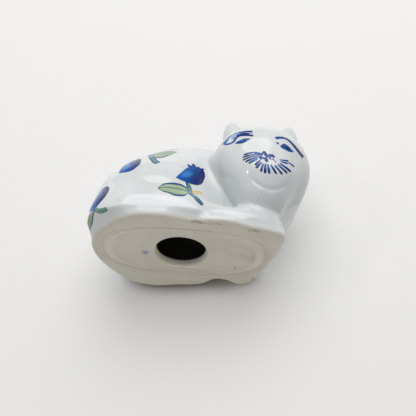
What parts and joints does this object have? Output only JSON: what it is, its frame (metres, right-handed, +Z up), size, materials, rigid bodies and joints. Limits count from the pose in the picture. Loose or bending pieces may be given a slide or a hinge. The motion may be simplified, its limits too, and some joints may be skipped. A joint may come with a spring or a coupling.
{
  "type": "ceramic cat figurine",
  "caption": "Hollow glazed ceramic cat lying with forelegs folded, tail along its flank, head turned to its right, on a flat unglazed foot with a round vent hole.",
  "frame": {"origin": "centre of the object's box, level with the unglazed foot it stands on", "axes": "+X from tail to chest, +Y to the cat's left, +Z up; the head looks along -Y"},
  "size_m": [0.1116, 0.0742, 0.0817],
  "materials": {
    "white_glaze": "glossy clear glaze over white porcelain, painted in cobalt blue and soft green under the glaze",
    "bare_clay": "unglazed fired clay, matt"
  },
  "bodies": {
    "root": {"body_shell": "white_glaze", "base_plate": "bare_clay", "head_shell": "white_glaze", "right_ear": "white_glaze", "left_ear": "white_glaze", "tail": "white_glaze", "right_foreleg": "white_glaze", "left_foreleg": "white_glaze"}
  },
  "joints": []
}
